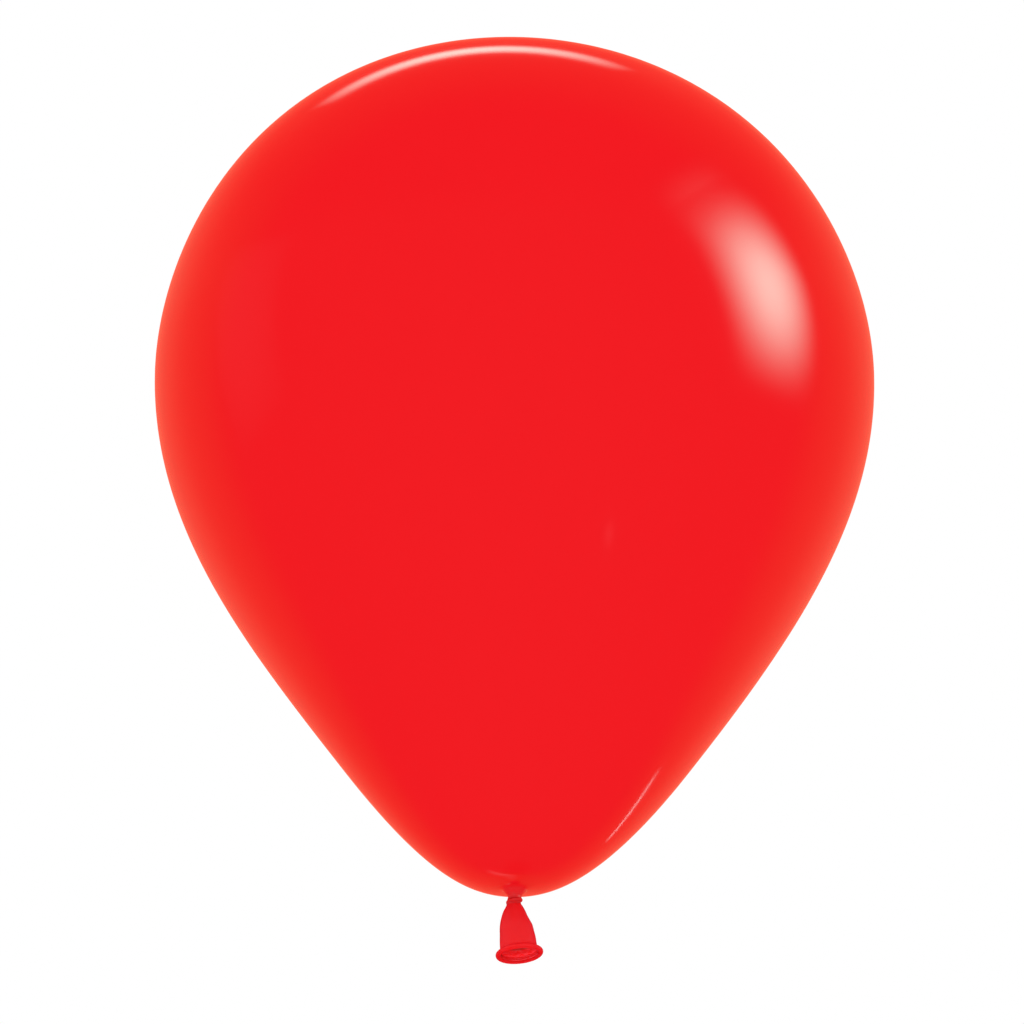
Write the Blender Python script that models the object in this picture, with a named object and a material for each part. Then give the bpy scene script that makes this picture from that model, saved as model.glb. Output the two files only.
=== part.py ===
"""A tied latex party balloon, blown up to 30 cm, floating upright with its knot down.

The real balloon is one dipped latex moulding. It is modelled here as the pieces that its wall and
its motion divide it into: the blown film envelope, the thick unblown neck below it, the knot (a
core strand and the turns wrapped round it), the open tail below the knot, and the bead rolled at
the tail's mouth.

The origin is the waist of the neck, just above the knot, where a ribbon is tied. +Z runs up to the
crown. -Y is the front, and the tail hangs a little to the right (+X) and to the front.
"""

import math

import bmesh
import bpy
from mathutils import Matrix, Vector
from mathutils.geometry import interpolate_bezier

MM = 0.001
GAP = 0.3 * MM  # left between pieces, which the real latex bridges

# Envelope: heights above the origin, and how far its outline's curve handles reach
MAX_RADIUS = 150 * MM
CROWN_HEIGHT = 368.2 * MM
EQUATOR_HEIGHT = 227.9 * MM
POLE_HEIGHT = 4.3 * MM
CROWN_REACH = 113.5 * MM
EQUATOR_REACH_UP = 50.4 * MM
EQUATOR_REACH_DOWN = 55.5 * MM
FLANK_RADIUS = 72.0 * MM
FLANK_HEIGHT = 60.1 * MM
FLANK_SLOPE = math.radians(35.9)  # from the vertical
FLANK_REACH_UP = 79.0 * MM
FLANK_REACH_DOWN = 75.3 * MM
POLE_REACH = 10.4 * MM
BELLY_LEAN = 3.8 * MM
CROWN_LEAN = -2.3 * MM
FILM_WALL = 0.010 * MM
THROAT_WALL = 0.2 * MM
THROAT_FADE = 6.0 * MM  # how fast the thick throat thins out to film
CROWN_STEPS = 8
SHOULDER_STEPS = 7
BASE_STEPS = 9
ENVELOPE_SIDES = 48

# Neck: a small thick-walled cup that the knot closes
NECK_RADIUS = 5.2 * MM
WAIST_RADIUS = 2.9 * MM
NECK_WALL = 0.3 * MM
NECK_FLOOR = 0.9 * MM
NECK_FULLNESS = 1.55  # the higher it is, the flatter the cup's bottom
NECK_STEPS = 5
NECK_SIDES = 28

# Knot: the wrap passes twice in front and once behind. Depths are below the waist
CORE_DEPTH = 2.9 * MM
WRAP_DEPTH = 2.0 * MM  # of its middle
KNOT_RADIUS = 3.35 * MM
STRAND_RADIUS = 0.7 * MM
WRAP_TURNS = 1.5
WRAP_RISE = 1.55 * MM  # in one turn
WRAP_STEPS = 36
CORE_SIDES = 20
CORE_STEPS = 4
CORE_NARROWING = 0.75  # of its radius, at its two ends

# Tail: it bends about the centre of its domed top, and lengths are measured down from there
TAIL_OFFSET = -0.4 * MM  # of the point where it leaves the knot
TAIL_PIVOT_DROP = 4.75 * MM  # from that point
TAIL_DOME_RADIUS = 4.2 * MM
TAIL_MOUTH_RADIUS = 7.35 * MM
TAIL_LENGTH = 15.25 * MM
TAIL_FULLNESS = 3.0  # the higher it is, the sooner the bell reaches its full width
TAIL_WALL = 0.3 * MM
TAIL_SIDEWAYS = math.radians(5.2)
TAIL_FORWARD = math.radians(3.2)
DOME_STEPS = 5
BELL_STEPS = 7
TAIL_SIDES = 32

# Rolled lip
BEAD_RADIUS = 1.05 * MM
LIP_RADIUS = 9.4 * MM
BEAD_SIDES = 10

# Colours and roughnesses: the thicker the latex, the darker and the less shiny it is
FILM_RED = (0.86, 0.012, 0.016, 1.0)
NECK_RED = (0.68, 0.014, 0.019, 1.0)
KNOT_RED = (0.58, 0.012, 0.017, 1.0)
TAIL_RED = (0.80, 0.018, 0.025, 1.0)
FILM_ROUGHNESS = 0.2
NECK_ROUGHNESS = 0.3
KNOT_ROUGHNESS = 0.35
TAIL_ROUGHNESS = 0.25
LIP_ROUGHNESS = 0.2

MERGE_DISTANCE = 0.001 * MM
SHARP_EDGE = math.radians(50)


def clear_scene():
    for item in list(bpy.data.objects):
        bpy.data.objects.remove(item)


def latex(name, colour, roughness):
    """Dyed latex: glossy, with no metal in it."""
    material = bpy.data.materials.new(name)
    material.use_nodes = True
    shader = material.node_tree.nodes["Principled BSDF"]
    shader.inputs["Base Color"].default_value = colour
    shader.inputs["Roughness"].default_value = roughness
    shader.inputs["Metallic"].default_value = 0.0
    return material


def pivot(name, place, parent=None, turn=None):
    """An empty on a joint's axis. Its place and turn are its parent's."""
    empty = bpy.data.objects.new(name, None)
    empty.matrix_local = Matrix.LocRotScale(place, turn, None)
    empty.parent = parent
    bpy.context.scene.collection.objects.link(empty)
    return empty


def finished(name, data, parent, material):
    """The named sub-part that holds this mesh or curve, with its parent's origin."""
    data.materials.append(material)
    part = bpy.data.objects.new(name, data)
    part.parent = parent
    bpy.context.scene.collection.objects.link(part)
    return part


def turned(name, outline, sides, closed=False):
    """A mesh turned about Z from (radius, height) points, which form a ring or end on the axis."""
    shape = bmesh.new()
    points = [shape.verts.new((radius, 0, height)) for radius, height in outline]
    edges = [shape.edges.new(pair) for pair in zip(points, points[1:])]
    if closed:
        edges.append(shape.edges.new((points[-1], points[0])))
    bmesh.ops.spin(
        shape,
        geom=points + edges,
        axis=(0, 0, 1),
        angle=math.tau,
        steps=sides,
        use_merge=True,
    )
    bmesh.ops.remove_doubles(shape, verts=shape.verts, dist=MERGE_DISTANCE)
    bmesh.ops.recalc_face_normals(shape, faces=shape.faces)
    mesh = bpy.data.meshes.new(name)
    shape.to_mesh(mesh)
    shape.free()
    mesh.shade_smooth()
    mesh.set_sharp_from_angle(angle=SHARP_EDGE)
    return mesh


def curve_points(start, reach, arrive, end, steps):
    """(radius, height) points on one cubic curve, in equal steps, both ends included."""
    corners = [Vector((*point, 0)) for point in (start, reach, arrive, end)]
    return [tuple(point[:2]) for point in interpolate_bezier(*corners, steps + 1)]


def envelope_outline():
    """The film's outer side, from the crown down to the edge of the throat."""
    along = (math.sin(FLANK_SLOPE), math.cos(FLANK_SLOPE))
    crown = curve_points(
        (0, CROWN_HEIGHT),
        (CROWN_REACH, CROWN_HEIGHT),
        (MAX_RADIUS, EQUATOR_HEIGHT + EQUATOR_REACH_UP),
        (MAX_RADIUS, EQUATOR_HEIGHT),
        CROWN_STEPS,
    )
    shoulder = curve_points(
        (MAX_RADIUS, EQUATOR_HEIGHT),
        (MAX_RADIUS, EQUATOR_HEIGHT - EQUATOR_REACH_DOWN),
        (FLANK_RADIUS + FLANK_REACH_UP * along[0], FLANK_HEIGHT + FLANK_REACH_UP * along[1]),
        (FLANK_RADIUS, FLANK_HEIGHT),
        SHOULDER_STEPS,
    )
    base = curve_points(
        (FLANK_RADIUS, FLANK_HEIGHT),
        (FLANK_RADIUS - FLANK_REACH_DOWN * along[0], FLANK_HEIGHT - FLANK_REACH_DOWN * along[1]),
        (POLE_REACH, POLE_HEIGHT),
        (0, POLE_HEIGHT),
        BASE_STEPS,
    )
    throat = NECK_RADIUS + GAP
    film = [point for point in base[1:] if point[0] > throat + GAP]
    return crown + shoulder[1:] + film + [(throat, POLE_HEIGHT)]


def film_inside(outer):
    """The film's inner side. The wall is thin film that thickens towards the throat."""
    points = [Vector(point) for point in outer]
    inner = []
    for index, point in enumerate(points):
        before = points[max(index - 1, 0)]
        after = points[min(index + 1, len(points) - 1)]
        run = (after - before).normalized()
        inward = Vector((run.y, -run.x))
        if index == 0:
            inward = Vector((0, -1))
        distance = (point - points[-1]).length
        wall = FILM_WALL + (THROAT_WALL - FILM_WALL) * math.exp(-distance / THROAT_FADE)
        inner.append(tuple(point + inward * wall))
    return inner


def lean_envelope(mesh):
    """Push the belly and the crown slightly off the axis, as blown latex grows unevenly."""
    for vertex in mesh.vertices:
        rise = (vertex.co.z - POLE_HEIGHT) / (CROWN_HEIGHT - POLE_HEIGHT)
        vertex.co.x += BELLY_LEAN * rise * (1 - rise) + CROWN_LEAN * rise * rise


def make_envelope():
    outer = envelope_outline()
    mesh = turned("envelope", outer + film_inside(outer)[::-1], ENVELOPE_SIDES)
    lean_envelope(mesh)
    return finished("envelope", mesh, None, latex("film_latex", FILM_RED, FILM_ROUGHNESS))


def neck_outline(height):
    """The neck's (radius, height below the pole), from its rim down to its waist."""
    points = []
    for step in range(NECK_STEPS + 1):
        share = 1 - step / NECK_STEPS
        radius = WAIST_RADIUS + (NECK_RADIUS - WAIST_RADIUS) * share
        points.append((radius, (share**NECK_FULLNESS - 1) * height))
    return points


def make_neck(parent):
    """The cup, with a solid floor where the knot draws the latex together."""
    height = POLE_HEIGHT - GAP / 2
    outer = neck_outline(height)
    inner = [(radius - NECK_WALL, depth) for radius, depth in outer if depth > NECK_FLOOR - height]
    outline = inner[::-1] + outer
    outline = [(0, inner[-1][1]), *outline, (0, outer[-1][1])]
    mesh = turned("neck", outline, NECK_SIDES)
    return finished("neck", mesh, parent, latex("neck_latex", NECK_RED, NECK_ROUGHNESS))


def make_knot_core(parent):
    """The strand that runs down through the wrapped turns, swollen in the middle."""
    top = -GAP / 2
    radius = KNOT_RADIUS - 2 * STRAND_RADIUS - GAP
    outline = [(0, top)]
    for step in range(CORE_STEPS + 1):
        share = step / CORE_STEPS
        swell = CORE_NARROWING + (1 - CORE_NARROWING) * math.sin(math.pi * share)
        outline.append((radius * swell, top - (CORE_DEPTH + top) * share))
    outline.append((0, -CORE_DEPTH))
    mesh = turned("knot_core", outline, CORE_SIDES)
    return finished("knot_core", mesh, parent, latex("core_latex", KNOT_RED, KNOT_ROUGHNESS))


def make_knot_wrap(parent):
    """The neck's own strand, led round the core and left leaning like a screw thread."""
    curve = bpy.data.curves.new("knot_wrap", "CURVE")
    curve.dimensions = "3D"
    curve.bevel_depth = STRAND_RADIUS
    curve.bevel_resolution = 2
    curve.use_fill_caps = True
    strand = curve.splines.new("POLY")
    strand.points.add(WRAP_STEPS)
    reach = KNOT_RADIUS - STRAND_RADIUS
    for index, point in enumerate(strand.points):
        share = index / WRAP_STEPS - 0.5
        turn = math.tau * WRAP_TURNS * share + math.pi / 2
        height = WRAP_RISE * WRAP_TURNS * share - WRAP_DEPTH
        point.co = (reach * math.cos(turn), reach * math.sin(turn), height, 1)
    return finished("knot_wrap", curve, parent, latex("wrap_latex", KNOT_RED, KNOT_ROUGHNESS))


def tail_outline(inset):
    """The tail's side from the top of its dome down to its end, moved in by inset."""
    points = []
    for step in range(DOME_STEPS + 1):
        turn = math.pi / 2 * (1 - step / DOME_STEPS)
        radius = TAIL_DOME_RADIUS - inset
        points.append((radius * math.cos(turn), radius * math.sin(turn)))
    points[0] = (0, TAIL_DOME_RADIUS - inset)
    for step in range(1, BELL_STEPS + 1):
        share = step / BELL_STEPS
        flare = (TAIL_MOUTH_RADIUS - TAIL_DOME_RADIUS) * (1 - (1 - share) ** TAIL_FULLNESS)
        points.append((TAIL_DOME_RADIUS + flare - inset, -TAIL_LENGTH * share))
    return points


def make_tail(parent):
    """The unblown end of the neck: a soft bell that is gathered shut at the knot."""
    outline = tail_outline(0) + tail_outline(TAIL_WALL)[::-1]
    mesh = turned("tail", outline, TAIL_SIDES)
    return finished("tail", mesh, parent, latex("tail_latex", TAIL_RED, TAIL_ROUGHNESS))


def make_rolled_lip(parent):
    """The bead rolled outwards round the mouth."""
    middle = -TAIL_LENGTH - GAP - BEAD_RADIUS
    reach = LIP_RADIUS - BEAD_RADIUS
    outline = []
    for step in range(BEAD_SIDES):
        turn = -math.tau * step / BEAD_SIDES
        outline.append((reach + BEAD_RADIUS * math.cos(turn), middle + BEAD_RADIUS * math.sin(turn)))
    mesh = turned("rolled_lip", outline, TAIL_SIDES, closed=True)
    return finished("rolled_lip", mesh, parent, latex("lip_latex", TAIL_RED, LIP_ROUGHNESS))


def build():
    clear_scene()
    make_envelope()
    neck_pivot = pivot("neck_tilt_pivot", Vector((0, 0, POLE_HEIGHT)))
    make_neck(neck_pivot)
    knot_pivot = pivot("knot_twist_pivot", Vector((0, 0, -POLE_HEIGHT)), neck_pivot)
    make_knot_core(knot_pivot)
    make_knot_wrap(knot_pivot)
    hang = Matrix.Rotation(-TAIL_SIDEWAYS, 3, "Y") @ Matrix.Rotation(-TAIL_FORWARD, 3, "X")
    root = Vector((TAIL_OFFSET, 0, -CORE_DEPTH))
    tail_centre = root + hang @ Vector((0, 0, -TAIL_PIVOT_DROP))
    tail_pivot = pivot("tail_bend_pivot", tail_centre, knot_pivot, hang.to_quaternion())
    make_tail(tail_pivot)
    make_rolled_lip(tail_pivot)


build()
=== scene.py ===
"""The looks of a red latex party balloon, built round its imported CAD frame.

The frame's origin is the waist of the neck, just above the knot. +Z runs up to the crown and -Y is
the front. The pieces are the blown film with its neck, the knot, the tail and the rolled lip.
"""

import math

import bmesh
import bpy
import numpy as np
from mathutils import Matrix, Vector
from mathutils.geometry import interpolate_bezier


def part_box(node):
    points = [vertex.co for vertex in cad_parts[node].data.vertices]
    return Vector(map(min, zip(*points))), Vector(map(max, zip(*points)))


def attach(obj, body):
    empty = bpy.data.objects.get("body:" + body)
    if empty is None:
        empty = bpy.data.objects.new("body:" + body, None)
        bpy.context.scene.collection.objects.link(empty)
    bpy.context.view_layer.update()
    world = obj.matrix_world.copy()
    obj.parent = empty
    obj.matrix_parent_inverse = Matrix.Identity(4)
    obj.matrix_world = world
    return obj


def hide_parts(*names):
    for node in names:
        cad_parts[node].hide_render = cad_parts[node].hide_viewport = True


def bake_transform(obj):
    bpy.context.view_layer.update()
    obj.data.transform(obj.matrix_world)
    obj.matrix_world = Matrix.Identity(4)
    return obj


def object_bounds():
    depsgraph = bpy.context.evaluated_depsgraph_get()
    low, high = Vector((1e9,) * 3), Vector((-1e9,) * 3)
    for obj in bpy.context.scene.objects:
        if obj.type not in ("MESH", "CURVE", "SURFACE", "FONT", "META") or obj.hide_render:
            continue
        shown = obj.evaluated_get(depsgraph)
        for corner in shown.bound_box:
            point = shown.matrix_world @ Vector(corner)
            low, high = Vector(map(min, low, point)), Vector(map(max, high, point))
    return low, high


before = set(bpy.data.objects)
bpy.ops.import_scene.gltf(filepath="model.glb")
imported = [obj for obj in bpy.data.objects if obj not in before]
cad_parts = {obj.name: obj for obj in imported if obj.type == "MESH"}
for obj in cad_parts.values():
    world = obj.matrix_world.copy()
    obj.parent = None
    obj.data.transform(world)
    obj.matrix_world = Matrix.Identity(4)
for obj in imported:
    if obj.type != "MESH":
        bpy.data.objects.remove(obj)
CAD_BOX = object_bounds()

MM = 0.001
LOW, HIGH = CAD_BOX

# Film: its outline is three cubic curves, the crown, the flank and the base
FILM_LOW, FILM_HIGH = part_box("envelope")
CROWN_HEIGHT = FILM_HIGH.z
POLE_HEIGHT = FILM_LOW.z
MAX_RADIUS = (FILM_HIGH.y - FILM_LOW.y) / 2
EQUATOR_HEIGHT = 227.9 * MM
CROWN_REACH = 113.5 * MM
EQUATOR_REACH_UP = 50.4 * MM
EQUATOR_REACH_DOWN = 55.5 * MM
FLANK_RADIUS = 72.0 * MM
FLANK_HEIGHT = 60.1 * MM
FLANK_SLOPE = math.radians(35.9)
FLANK_REACH_UP = 79.0 * MM
FLANK_REACH_DOWN = 75.3 * MM
POLE_REACH = 10.4 * MM
LEAN_STATIONS = [  # share of the way up the film, and how far it leans to the right there, in mm
    (0.0, 0.0),
    (0.035, 0.43),
    (0.09, 0.89),
    (0.167, 1.06),
    (0.244, 0.94),
    (0.32, 0.62),
    (0.40, 0.32),
    (0.483, 0.14),
    (0.557, 0.05),
    (0.72, -0.35),
    (0.85, -1.18),
    (0.95, -2.2),
    (1.0, -2.7),
]
CURVE_STEPS = 56
FILM_SIDES = 256
CROWN_SHADE = 0.2
CROWN_SPOT = (6 * MM, 30 * MM)  # the thick spot on the crown fades out between these radii
CROWN_RISE = (0.33, 0.36)  # and between these heights

# Neck: a thick cup under the film, from its throat down to the waist that the knot closes
THROAT_SPREAD = 13.0 * MM  # inside this radius the film slopes down into the cup
# radius and height, in mm
THROAT_POINTS = [(10.2, 4.5), (8.0, 4.08), (6.3, 3.75), (5.35, 3.45), (4.85, 3.1)]
CUP_POINTS = [
    (4.47, 2.6),
    (4.05, 2.05),
    (3.55, 1.5),
    (3.1, 1.05),
    (2.82, 0.6),
    (2.74, 0.15),
    (2.74, -0.8),
]
NECK_STEPS = 64
# how much deeper the colour gets, going down from the second height to the first
NECK_SHADES = [(0.2, 2.4 * MM, 3.7 * MM), (0.3, -0.3 * MM, 1.6 * MM)]

# Knot: one strand in a falling turn and a half, round a core
KNOT_PATH = [  # half turns from the right, by the front; the strand's outer radius and its height, in mm
    (-1.3, 2.4, -0.65),
    (-1.0, 2.93, -0.75),
    (-0.5, 3.1, -0.9),
    (0.0, 3.2, -1.1),
    (0.5, 3.3, -1.8),
    (1.0, 3.47, -2.25),
    (1.5, 3.1, -2.45),
    (2.0, 2.6, -2.75),
    (2.5, 3.1, -3.15),
    (3.0, 3.32, -3.35),
    (3.4, 2.7, -3.2),
]
STRAND_WIDE = 0.9 * MM
STRAND_TALL = 0.84 * MM
STRAND_STEPS = 220
STRAND_SIDES = 24
CORE_RADIUS = 2.45 * MM
CORE_TOP = -0.5 * MM
CORE_FOOT = -3.5 * MM
CORE_RINGS = 9
CORE_SIDES = 48
MELT_SIZE = 0.07 * MM
KNOT_SHADE = 0.5

# Tail
TAIL_ROOT = Vector((0, 0, -2.4)) * MM
TAIL_STATIONS = [  # depth below the root, how far it leans to the right there, and its radius, in mm
    (0.0, -0.30, 2.1),
    (0.6, -0.30, 2.68),
    (2.1, -0.27, 3.6),
    (4.1, -0.27, 4.6),
    (6.2, -0.13, 5.34),
    (8.2, 0.16, 6.02),
    (10.3, 0.57, 6.63),
    (12.8, 0.90, 6.91),
    (15.4, 1.20, 7.24),
    (17.9, 1.43, 7.40),
    (19.2, 1.58, 7.47),
    (19.9, 1.67, 7.62),
    (20.35, 1.72, 7.95),
    (20.7, 1.76, 8.45),
    (21.7, 1.89, 8.5),
]
TAIL_FORWARD = math.tan(math.radians(2.0))
TAIL_TILT = Matrix.Rotation(math.radians(-6.0), 3, "Y") @ Matrix.Rotation(math.radians(-2.0), 3, "X")
TAIL_WALL = 0.3 * MM
TAIL_SIDES = 160
TAIL_STEPS = 90
TAIL_SHADE = 0.05
PLEATS = 9
PLEAT_HEIGHT = 0.10 * MM
PLEAT_RISE = 1.5 * MM  # the pleats are full at this depth
PLEAT_FALL = (2 * MM, 7 * MM)  # and fade out between these
BORE_START = 1.0 * MM
BORE_TOP = Vector((-0.5, 0, -1.0)) * MM  # from the tail's root
BORE_RADIUS = 7.4 * MM
SHADE_DEPTH = 17.6 * MM  # painted shade: the inside is darker above this depth
SHADE_FADE = 0.3 * MM
MOUTH_SHADOW_SPOT = Vector((-4.9, 1.6, -24.1)) * MM  # and round this spot at one side of the mouth, as a painted shadow
MOUTH_SHADOW_SPREAD = 1.3 * MM

# Lip
LIP_MIDDLE = Vector((1.89, -0.77, -24.08)) * MM
LIP_TILT = Matrix.Rotation(math.radians(-6.0), 3, "Y") @ Matrix.Rotation(math.radians(-1.6), 3, "X")
BEAD_RADIUS = 1.05 * MM
LIP_REACH = 8.53 * MM
BEAD_SIDES = 28

# Camera
LENS_MM = 200
SENSOR_MM = 36
CAMERA_DISTANCE = 2.3525
CAMERA_RISE = math.radians(24)  # it looks up by this much
AIM = (LOW + HIGH) / 2 + Vector((-1.1, 0, -1.7)) * MM
SIGHT_LIMIT = 100

# Floor
FLOOR_HEIGHT = -1.0
FLOOR_RADIUS = 20
FLOOR_SIDES = 96
FLOOR_GREY = 0.98

# Latex: the first colour is where its wall is thin, the second where it is thick, and the second also serves
# as painted shade inside the tail's mouth
FILM_LOOK = {
    "thin": (0.899, 0.0078, 0.0137),
    "thick_or_shaded": (0.58, 0.012, 0.015),
    "roughness": 0.095,
    "dull": 0.45,
}
KNOT_LOOK = {
    "thin": (0.80, 0.03, 0.03),
    "thick_or_shaded": (0.76, 0.028, 0.028),
    "roughness": 0.5,
    "specular": 0.3,
}
TAIL_LOOK = {
    "thin": (0.965, 0.022, 0.025),
    # inside the mouth this colour is painted shade
    "thick_or_shaded": (0.6, 0.03, 0.022),
    "roughness": 0.5,
    "specular": 0.25,
}
KNOT_GLOW = 0.4 * MM
KNOT_EDGE = (0.95, 0.75, 0.8)
TAIL_GLOW = 0.6 * MM
TAIL_EDGE = (0.95, 0.7, 0.78)
GLOW_REACH = (1, 0.25, 0.2)
MOTTLE = (0.01, 0.07, 0.04)
MOTTLE_SCALE = 55
MOTTLE_DETAIL = 4
MOTTLE_ROUGHNESS = 0.6
GLOSS_SPREAD = 0.02

# Panels of light: each one's reflection shows round its target, which it faces along that turn and rise
KEY_TARGET = (0.102, -0.109, 0.218)
PANELS = [
    {
        "name": "key_box",
        "target": KEY_TARGET,
        "turn": 83.5,
        "rise": 26,
        "distance": 1.2,
        "size": (1.12, 1.28),
        "radiance": 9.9,
        "colour": (0.25, 0.95, 0.82),
        "fade": (3, 3),
        "shift": (-0.002, -0.11),
        "roll": 16,
        "only": ["film"],
    },
    {
        "name": "key_glow",
        "target": KEY_TARGET,
        "turn": 83.5,
        "rise": 26,
        "distance": 1.2,
        "size": (1.0, 0.9),
        "radiance": 0.85,
        "colour": (0.4, 0.95, 0.82),
        "fade": (2, 2),
        "shift": (-0.1, 0.29),
        "roll": 12,
        "only": ["film"],
    },
    {
        "name": "top_bar",
        "target": (-0.005, -0.106, 0.327),
        "turn": -171.1,
        "rise": 59.8,
        "distance": 1.15,
        "size": (0.8, 0.24),
        "radiance": 3.1,
        "colour": (0.35, 0.97, 0.87),
        "fade": (0.9, 2),
        "shift": (0.01, 0.004),
        "roll": -12.3,
    },
    {
        "name": "edge_strip",
        "target": (0.050, -0.015, 0.035),
        "turn": 137,
        "rise": -15,
        "distance": 1.2,
        "size": (0.29, 0.035),
        "radiance": 4.6,
        "colour": (0.5, 1, 1),
        "fade": (0.4, 1),
        "shift": (0.025, -0.004),
        "roll": -17,
    },
    {
        "name": "low_strip",
        "target": (-0.006, -0.011, 0.005),
        "turn": -168,
        "rise": -46,
        "distance": 1.0,
        "size": (0.38, 0.11),
        "radiance": 0.46,
        "fade": (1, 1),
        "shift": (0, -0.018),
        "roll": -18,
        "past": ["film"],
    },
    {
        "name": "low_spot",
        "target": (0.0378, -0.1038, 0.1156),
        "turn": 43.7,
        "rise": -36.7,
        "distance": 1.0,
        "size": (0.06, 0.035),
        "radiance": 0.45,
        "shift": (-0.008, -0.006),
    },
    {
        "name": "mouth_fill",
        "target": LIP_MIDDLE,
        "turn": 0,
        "rise": -78,
        "distance": 0.5,
        "size": (0.12, 0.12),
        "radiance": 355.0,
        "colour": (0.2, 1, 1),
        "only": ["tail_bell"],
        "soft": True,
    },
    {
        "name": "side_box",
        "target": (-0.12, -0.06, 0.2),
        "turn": -90,
        "rise": 14,
        "distance": 1.2,
        "size": (0.62, 1.0),
        "radiance": 0.1,
    },
]

# What the latex mirrors: dim and warm, and brighter the more it lies along the axis
SURROUND_AXIS = (0, math.cos(math.radians(24)), math.sin(math.radians(24)))
SURROUND = [
    (-1.0, (0.97, 0.055, 0.03)),
    (0.2, (0.95, 0.04, 0.02)),
    (0.3, (0.96, 0.07, 0.02)),
    (0.42, (1.0, 0.117, 0.035)),
    (0.54, (1.05, 0.136, 0.045)),
    (0.66, (1.10, 0.156, 0.065)),
    (0.78, (1.12, 0.197, 0.095)),
    (0.9, (1.12, 0.207, 0.115)),
]
SURROUND_TOP = (0.5, 0.72)  # and it is redder from this height up to that one
SURROUND_TOP_TINT = (1, 0.5, 0.5)


def smooth(low, high, value):
    """0 below the low value and 1 above the high one, with an easy rise between them."""
    share = min(max((value - low) / (high - low), 0), 1)
    return share * share * (3 - 2 * share)


def circle(radius, height, sides, lean=0):
    """Points round an upright line that is that far to the right of the middle."""
    turns = [math.tau * side / sides for side in range(sides)]
    return [(radius * math.cos(turn) + lean, radius * math.sin(turn), height) for turn in turns]


def along(points, steps):
    """(radius, height) points on one cubic curve."""
    corners = [Vector((*point, 0)) for point in points]
    return [tuple(point[:2]) for point in interpolate_bezier(*corners, steps + 1)]


def through(stations, places):
    """A smooth curve's values at places, through stations that each start with their own place."""
    table = np.array(stations, dtype=float)
    knots, values = table[:, 0], table[:, 1:]
    slopes = np.gradient(values, knots, axis=0)
    places = np.asarray(places, dtype=float)
    left = np.clip(np.searchsorted(knots, places, side="right") - 1, 0, len(knots) - 2)
    gap = (knots[left + 1] - knots[left])[:, None]
    share = (places[:, None] - knots[left][:, None]) / gap
    ease = share * share * (3 - 2 * share)
    rise = share * (1 - share) ** 2
    fall = share * share * (share - 1)
    start, end = values[left], values[left + 1]
    return start + (end - start) * ease + gap * (slopes[left] * rise + slopes[left + 1] * fall)


def film_outline():
    """The film's outer side from the crown down, then the neck's down into the knot."""
    slope = (math.sin(FLANK_SLOPE), math.cos(FLANK_SLOPE))
    crown = along(
        [
            (0, CROWN_HEIGHT),
            (CROWN_REACH, CROWN_HEIGHT),
            (MAX_RADIUS, EQUATOR_HEIGHT + EQUATOR_REACH_UP),
            (MAX_RADIUS, EQUATOR_HEIGHT),
        ],
        CURVE_STEPS,
    )
    shoulder = along(
        [
            (MAX_RADIUS, EQUATOR_HEIGHT),
            (MAX_RADIUS, EQUATOR_HEIGHT - EQUATOR_REACH_DOWN),
            (FLANK_RADIUS + FLANK_REACH_UP * slope[0], FLANK_HEIGHT + FLANK_REACH_UP * slope[1]),
            (FLANK_RADIUS, FLANK_HEIGHT),
        ],
        CURVE_STEPS,
    )
    base = along(
        [
            (FLANK_RADIUS, FLANK_HEIGHT),
            (FLANK_RADIUS - FLANK_REACH_DOWN * slope[0], FLANK_HEIGHT - FLANK_REACH_DOWN * slope[1]),
            (POLE_REACH, POLE_HEIGHT),
            (0, POLE_HEIGHT),
        ],
        CURVE_STEPS,
    )
    film = [point for point in base[1:] if point[0] > THROAT_SPREAD]
    bend = film[-2:] + [(radius * MM, height * MM) for radius, height in THROAT_POINTS + CUP_POINTS]
    run = np.concatenate([[0], np.cumsum(np.hypot(*np.diff(np.array(bend), axis=0).T))])
    stations = [(place, *point) for place, point in zip(run, bend)]
    neck = through(stations, np.linspace(run[1], run[-1], NECK_STEPS))
    return crown + shoulder[1:] + film + [tuple(point) for point in neck[1:]]


def lofted(name, rings, top=None, bottom=None, ring_shut=False):
    """A mesh from rings of points, each joined to the next, with an end point or open at each end."""
    shape = bmesh.new()
    rows = [[shape.verts.new(point) for point in ring] for ring in rings]
    pairs = list(zip(rows, rows[1:]))
    if ring_shut:
        pairs.append((rows[-1], rows[0]))
    for upper, lower in pairs:
        for side in range(len(upper)):
            after = (side + 1) % len(upper)
            shape.faces.new((upper[side], lower[side], lower[after], upper[after]))
    for end, row in ((top, rows[0]), (bottom, rows[-1])):
        if end is None:
            continue
        tip = shape.verts.new(end)
        for side in range(len(row)):
            shape.faces.new((tip, row[side], row[(side + 1) % len(row)]))
    bmesh.ops.recalc_face_normals(shape, faces=shape.faces)
    mesh = bpy.data.meshes.new(name)
    shape.to_mesh(mesh)
    shape.free()
    mesh.shade_smooth()
    return mesh


def keep_rest(mesh, thickness_or_shade):
    """Store where each vertex is at rest, and how deep its colour is from thick latex or from painted shade,
    for the materials.
    """
    place = mesh.attributes.new("rest_place", "FLOAT_VECTOR", "POINT")
    thick_or_shaded = mesh.attributes.new("thick_or_shaded", "FLOAT", "POINT")
    for vertex in mesh.vertices:
        place.data[vertex.index].vector = vertex.co
        thick_or_shaded.data[vertex.index].value = thickness_or_shade(vertex)


def piece(name, mesh, material):
    """An object in the scene, from a mesh and the one material that it has."""
    part = bpy.data.objects.new(name, mesh)
    bpy.context.scene.collection.objects.link(part)
    mesh.materials.clear()
    mesh.materials.append(material)
    return part


# ---------------------------------------------------------------- materials


def node(tree, kind, **settings):
    made = tree.nodes.new(kind)
    for key, value in settings.items():
        setattr(made, key, value)
    return made


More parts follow.
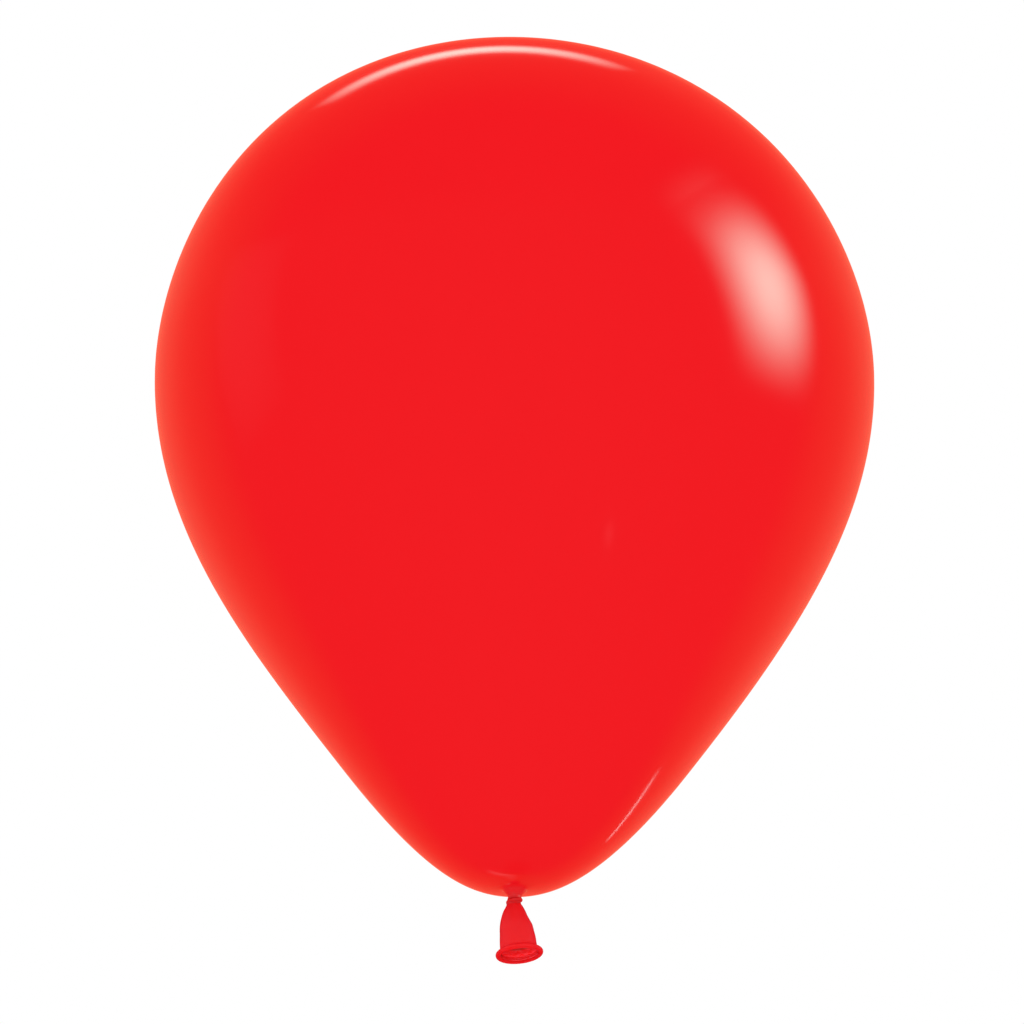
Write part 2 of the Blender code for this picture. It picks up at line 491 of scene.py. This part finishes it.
def maths(tree, operation, *values):
    """A Math node's output, from numbers and other nodes' outputs."""
    made = node(tree, "ShaderNodeMath", operation=operation)
    for value, socket in zip(values, made.inputs):
        if isinstance(value, (int, float)):
            socket.default_value = value
        else:
            tree.links.new(value, socket)
    return made.outputs[0]


def latex(name, thin, thick_or_shaded, roughness, specular=0.5, dull=0.0):
    """Dyed latex: deeper, and duller by that much, where it is thick or carries painted shade, and faintly
    mottled.
    """
    material = bpy.data.materials.new(name)
    material.use_nodes = True
    tree = material.node_tree
    link = tree.links.new
    shader = tree.nodes["Principled BSDF"]
    shader.inputs["Specular IOR Level"].default_value = specular
    place = node(tree, "ShaderNodeAttribute", attribute_name="rest_place")
    wall = node(tree, "ShaderNodeAttribute", attribute_name="thick_or_shaded")

    cloud = node(tree, "ShaderNodeTexNoise")
    cloud.inputs["Scale"].default_value = MOTTLE_SCALE
    cloud.inputs["Detail"].default_value = MOTTLE_DETAIL
    cloud.inputs["Roughness"].default_value = MOTTLE_ROUGHNESS
    link(place.outputs["Vector"], cloud.inputs["Vector"])

    colour = node(tree, "ShaderNodeMix", data_type="RGBA")
    colour.inputs["A"].default_value = (*thin, 1)
    colour.inputs["B"].default_value = (*thick_or_shaded, 1)
    link(wall.outputs["Fac"], colour.inputs["Factor"])

    shade = node(tree, "ShaderNodeMix", data_type="RGBA")
    shade.inputs["A"].default_value = (*[1 - 2 * share for share in MOTTLE], 1)
    shade.inputs["B"].default_value = (*[1 + 2 * share for share in MOTTLE], 1)
    link(cloud.outputs["Fac"], shade.inputs["Factor"])
    tinted = node(tree, "ShaderNodeMix", data_type="RGBA", blend_type="MULTIPLY")
    tinted.inputs["Factor"].default_value = 1
    link(colour.outputs["Result"], tinted.inputs["A"])
    link(shade.outputs["Result"], tinted.inputs["B"])
    link(tinted.outputs["Result"], shader.inputs["Base Color"])

    gloss = node(tree, "ShaderNodeMapRange")
    gloss.inputs["To Min"].default_value = roughness - GLOSS_SPREAD
    gloss.inputs["To Max"].default_value = roughness + GLOSS_SPREAD
    link(cloud.outputs["Fac"], gloss.inputs["Value"])
    dulled = maths(tree, "MULTIPLY_ADD", wall.outputs["Fac"], dull, gloss.outputs["Result"])
    link(dulled, shader.inputs["Roughness"])
    return material


def see_into(material, depth, tint):
    """Let light through the unblown latex's wall, and deepen its colour where it is seen edge on."""
    shader = material.node_tree.nodes["Principled BSDF"]
    shader.inputs["Subsurface Weight"].default_value = 1
    shader.inputs["Subsurface Radius"].default_value = GLOW_REACH
    shader.inputs["Subsurface Scale"].default_value = depth
    shader.inputs["Coat Weight"].default_value = 1
    shader.inputs["Coat IOR"].default_value = 1.0
    shader.inputs["Coat Tint"].default_value = (*tint, 1)
    return material


# ---------------------------------------------------------------- pieces


def film_depth(vertex):
    """How deep the film's colour is: it is thicker down its neck, and in a spot on its crown."""
    place = vertex.co
    spread = math.hypot(place.x, place.y)
    neck = sum(shade * (1 - smooth(low, high, place.z)) for shade, low, high in NECK_SHADES)
    crown = (1 - smooth(*CROWN_SPOT, spread)) * smooth(*CROWN_RISE, place.z)
    return neck + CROWN_SHADE * crown


def make_film(material):
    outline = film_outline()
    rings = []
    for radius, height in outline[1:]:
        rise = max((height - POLE_HEIGHT) / (CROWN_HEIGHT - POLE_HEIGHT), 0)
        lean = through(LEAN_STATIONS, [rise])[0][0] * MM
        rings.append(circle(radius, height, FILM_SIDES, lean))
    crown = (LEAN_STATIONS[-1][1] * MM, 0, CROWN_HEIGHT)
    mesh = lofted("film", rings, crown, (0, 0, outline[-1][1]))
    keep_rest(mesh, film_depth)
    film = piece("film", mesh, material)
    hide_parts("envelope", "neck")
    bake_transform(film)
    return film


def make_knot(material):
    """A strand laid round a core, melted together."""
    turns = np.linspace(KNOT_PATH[0][0], KNOT_PATH[-1][0], STRAND_STEPS + 1)
    rings = []
    for turn, (outer, height) in zip(turns, through(KNOT_PATH, turns) * MM):
        out = Vector((math.cos(math.pi * turn), -math.sin(math.pi * turn), 0))
        centre = out * (outer - STRAND_WIDE) + Vector((0, 0, height))
        ring = []
        for side in range(STRAND_SIDES):
            angle = math.tau * side / STRAND_SIDES
            up = Vector((0, 0, STRAND_TALL * math.sin(angle)))
            ring.append(centre + out * STRAND_WIDE * math.cos(angle) + up)
        rings.append(ring)
    ends = [sum(ring, Vector()) / STRAND_SIDES for ring in (rings[0], rings[-1])]
    roll = piece("knot_roll", lofted("knot_roll", rings, *ends), material)
    heights = np.linspace(CORE_TOP, CORE_FOOT, CORE_RINGS)
    core_rings = [circle(CORE_RADIUS, height, CORE_SIDES) for height in heights]
    core_mesh = lofted("knot_core_fill", core_rings, (0, 0, CORE_TOP), (0, 0, CORE_FOOT))
    core = piece("knot_core_fill", core_mesh, material)
    with bpy.context.temp_override(active_object=roll, selected_editable_objects=[roll, core]):
        bpy.ops.object.join()
    remesh = roll.modifiers.new("melt", "REMESH")
    remesh.mode = "VOXEL"
    remesh.voxel_size = MELT_SIZE
    soften = roll.modifiers.new("soften", "SMOOTH")
    soften.factor = 0.5
    soften.iterations = 8
    graph = bpy.context.evaluated_depsgraph_get()
    mesh = bpy.data.meshes.new_from_object(roll.evaluated_get(graph))
    bpy.data.objects.remove(roll)
    mesh.name = "knot"
    mesh.shade_smooth()
    keep_rest(mesh, lambda vertex: KNOT_SHADE)
    knot = piece("knot", mesh, material)
    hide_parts("knot_core", "knot_wrap")
    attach(knot, "knot_body")
    return knot


def tail_point(depth, turn, inset=0):
    """A point on the tail's outer side, or that far inside it; inside, it runs straight into the lip."""
    sideways, radius = through(TAIL_STATIONS, [depth / MM])[0] * MM
    pleat = PLEAT_HEIGHT * smooth(0, PLEAT_RISE, depth) * (1 - smooth(*PLEAT_FALL, depth))
    radius += pleat * math.cos(PLEATS * turn) - inset
    if inset:
        radius = min(radius, BORE_RADIUS)
    middle = TAIL_ROOT + Vector((sideways, -TAIL_FORWARD * depth, -depth))
    return middle + TAIL_TILT @ Vector((radius * math.cos(turn), radius * math.sin(turn), 0))


def tail_ring(depth, inset=0):
    return [tail_point(depth, math.tau * side / TAIL_SIDES, inset) for side in range(TAIL_SIDES)]


def painted_mouth_shadow(vertex):
    """Painted shadow: how much darker the colour is round a spot at one side of the mouth."""
    return 1 - smooth(0.4 * MOUTH_SHADOW_SPREAD, MOUTH_SHADOW_SPREAD, (vertex.co - MOUTH_SHADOW_SPOT).length)


def make_tail(material):
    end = TAIL_STATIONS[-1][0] * MM
    depths = np.linspace(0, end, TAIL_STEPS + 1)
    outside = [tail_ring(depth) for depth in depths]
    inner_depths = [depth for depth in depths[::-1] if depth > BORE_START]
    inside = [tail_ring(depth, TAIL_WALL) for depth in inner_depths]
    mesh = lofted("tail_bell", outside + inside, TAIL_ROOT, TAIL_ROOT + BORE_TOP)

    def thickness_or_shade(vertex):
        ring = vertex.index // TAIL_SIDES - len(outside)
        if ring < 0:
            return TAIL_SHADE
        depth = inner_depths[min(ring, len(inside) - 1)]
        # painted shade: the inside is darker above SHADE_DEPTH, and round the spot at one side of the mouth
        inner_shade = 1 - smooth(SHADE_DEPTH - SHADE_FADE, SHADE_DEPTH + SHADE_FADE, depth)
        return max(inner_shade, painted_mouth_shadow(vertex))

    keep_rest(mesh, thickness_or_shade)
    tail = piece("tail_bell", mesh, material)
    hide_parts("tail")
    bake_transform(tail)
    return tail


def make_lip(material):
    rings = []
    for side in range(TAIL_SIDES):
        turn = math.tau * side / TAIL_SIDES
        ring = []
        for step in range(BEAD_SIDES):
            angle = math.tau * step / BEAD_SIDES
            reach = LIP_REACH + BEAD_RADIUS * math.cos(angle)
            spot = Vector((reach * math.cos(turn), reach * math.sin(turn), BEAD_RADIUS * math.sin(angle)))
            ring.append(LIP_MIDDLE + LIP_TILT @ spot)
        rings.append(ring)
    mesh = lofted("lip_bead", rings, ring_shut=True)
    # the lip's colour carries only the painted shadow at one side of the mouth
    keep_rest(mesh, painted_mouth_shadow)
    lip = piece("lip_bead", mesh, material)
    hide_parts("rolled_lip")
    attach(lip, "tail_body")
    return lip


# ---------------------------------------------------------------- studio


def towards(turn, rise):
    """The direction at a turn from the front towards the right, and a rise above the horizon, in degrees."""
    turn, rise = math.radians(turn), math.radians(rise)
    return Vector((math.sin(turn) * math.cos(rise), -math.cos(turn) * math.cos(rise), math.sin(rise)))


def softbox(
    name,
    target,
    turn,
    rise,
    distance,
    size,
    radiance,
    colour=(1, 1, 1),
    fade=(0.5, 0.5),
    shift=(0, 0),
    roll=0,
    only=(),
    past=(),
    soft=False,
):
    """A panel that fades by (1 - x * x) ** fade along each side, and shows only as a reflection.

    A soft one lights matt surfaces instead. It can light only some pieces, or be blocked only by some.
    """
    width, height = size
    data = bpy.data.lights.new(name, "AREA")
    data.shape = "RECTANGLE"
    data.size = width
    data.size_y = height
    data.color = colour
    data.energy = radiance * math.pi * width * height
    data.use_nodes = True
    tree = data.node_tree
    emission = tree.nodes["Emission"]
    spot = node(tree, "ShaderNodeNewGeometry")
    split = node(tree, "ShaderNodeSeparateXYZ")
    tree.links.new(spot.outputs["Parametric"], split.inputs["Vector"])
    shares = []
    for axis, power in zip("XY", fade):
        across = maths(tree, "MULTIPLY_ADD", split.outputs[axis], 2.0, -1.0)
        inner = maths(tree, "SUBTRACT", 1.0, maths(tree, "MULTIPLY", across, across))
        shares.append(maths(tree, "POWER", inner, float(power)))
    tree.links.new(maths(tree, "MULTIPLY", *shares), emission.inputs["Strength"])
    lamp = bpy.data.objects.new(name, data)
    away = towards(turn, rise)
    facing = away.to_track_quat("Z", "Y").to_matrix() @ Matrix.Rotation(math.radians(roll), 3, "Z")
    lamp.location = Vector(target) + away * distance + facing @ Vector((*shift, 0))
    lamp.rotation_euler = facing.to_euler()
    lamp.visible_camera = False
    lamp.visible_diffuse = soft
    lamp.visible_glossy = not soft
    bpy.context.scene.collection.objects.link(lamp)
    if only:
        lamp.light_linking.receiver_collection = gathered(name + "_lit", only)
    if past:
        lamp.light_linking.blocker_collection = gathered(name + "_blockers", past)


def gathered(name, parts):
    """A collection of the pieces with those names, for a light to shine on or to be blocked by."""
    group = bpy.data.collections.new(name)
    for part in parts:
        group.objects.link(bpy.data.objects[part])
    return group


def make_world():
    """White all round for the camera and for soft light, and a dim warm surround in reflections."""
    world = bpy.data.worlds.new("studio")
    world.use_nodes = True
    tree = world.node_tree
    link = tree.links.new
    path = node(tree, "ShaderNodeLightPath")
    soft = tree.nodes["Background"]
    soft.inputs["Color"].default_value = (1, 1, 1, 1)
    soft.inputs["Strength"].default_value = 1.0
    mirrored = node(tree, "ShaderNodeBackground")
    where = node(tree, "ShaderNodeTexCoord")
    against = node(tree, "ShaderNodeVectorMath", operation="DOT_PRODUCT")
    against.inputs[1].default_value = SURROUND_AXIS
    link(where.outputs["Generated"], against.inputs[0])
    ramp = node(tree, "ShaderNodeValToRGB")
    link(maths(tree, "MULTIPLY_ADD", against.outputs["Value"], 0.5, 0.5), ramp.inputs["Fac"])
    marks = ramp.color_ramp.elements
    while len(marks) > 1:
        marks.remove(marks[-1])
    for index, (lean, colour) in enumerate(SURROUND):
        mark = marks[0] if index == 0 else marks.new((lean + 1) / 2)
        mark.position = (lean + 1) / 2
        mark.color = (*colour, 1)
    split = node(tree, "ShaderNodeSeparateXYZ")
    link(where.outputs["Generated"], split.inputs["Vector"])
    high = node(tree, "ShaderNodeMapRange")
    high.inputs["From Min"].default_value, high.inputs["From Max"].default_value = SURROUND_TOP
    link(split.outputs["Z"], high.inputs["Value"])
    redder = node(tree, "ShaderNodeMix", data_type="RGBA", blend_type="MULTIPLY")
    redder.inputs["B"].default_value = (*SURROUND_TOP_TINT, 1)
    link(high.outputs["Result"], redder.inputs["Factor"])
    link(ramp.outputs["Color"], redder.inputs["A"])
    link(redder.outputs["Result"], mirrored.inputs["Color"])
    choose = node(tree, "ShaderNodeMixShader")
    link(path.outputs["Is Glossy Ray"], choose.inputs["Fac"])
    link(soft.outputs["Background"], choose.inputs[1])
    link(mirrored.outputs["Background"], choose.inputs[2])
    link(choose.outputs["Shader"], tree.nodes["World Output"].inputs["Surface"])
    bpy.context.scene.world = world


def make_floor():
    """A pale floor that is seen only from above, so that a view from below looks through it."""
    rim = circle(FLOOR_RADIUS, FLOOR_HEIGHT, FLOOR_SIDES)
    mesh = lofted("floor", [rim], (0, 0, FLOOR_HEIGHT))
    if mesh.polygons[0].normal.z < 0:
        mesh.flip_normals()
    material = bpy.data.materials.new("pale_floor")
    material.use_nodes = True
    tree = material.node_tree
    link = tree.links.new
    shader = tree.nodes["Principled BSDF"]
    shader.inputs["Base Color"].default_value = (FLOOR_GREY, FLOOR_GREY, FLOOR_GREY, 1)
    shader.inputs["Roughness"].default_value = 0.9
    shader.inputs["Specular IOR Level"].default_value = 0
    clear = node(tree, "ShaderNodeBsdfTransparent")
    side = node(tree, "ShaderNodeNewGeometry")
    choose = node(tree, "ShaderNodeMixShader")
    link(side.outputs["Backfacing"], choose.inputs["Fac"])
    link(shader.outputs["BSDF"], choose.inputs[1])
    link(clear.outputs["BSDF"], choose.inputs[2])
    link(choose.outputs["Shader"], tree.nodes["Material Output"].inputs["Surface"])
    floor = piece("floor", mesh, material)
    floor.visible_glossy = False


def make_camera():
    data = bpy.data.cameras.new("camera")
    data.lens = LENS_MM
    data.sensor_width = SENSOR_MM
    data.clip_end = SIGHT_LIMIT
    camera = bpy.data.objects.new("camera", data)
    look = Vector((0, math.cos(CAMERA_RISE), math.sin(CAMERA_RISE)))
    camera.location = AIM - look * CAMERA_DISTANCE
    camera.rotation_euler = (math.pi / 2 + CAMERA_RISE, 0, 0)
    bpy.context.scene.collection.objects.link(camera)
    bpy.context.scene.camera = camera


film = make_film(latex("film_latex", **FILM_LOOK))
knot = make_knot(see_into(latex("knot_latex", **KNOT_LOOK), KNOT_GLOW, KNOT_EDGE))
tail_latex = see_into(latex("tail_latex", **TAIL_LOOK), TAIL_GLOW, TAIL_EDGE)
tail = make_tail(tail_latex)
lip = make_lip(tail_latex)
for part in (knot, tail, lip):
    part.visible_glossy = False  # the film doesn't mirror them
make_world()
make_floor()
for panel in PANELS:
    softbox(**panel)
make_camera()
bpy.context.scene.view_settings.view_transform = "Standard"
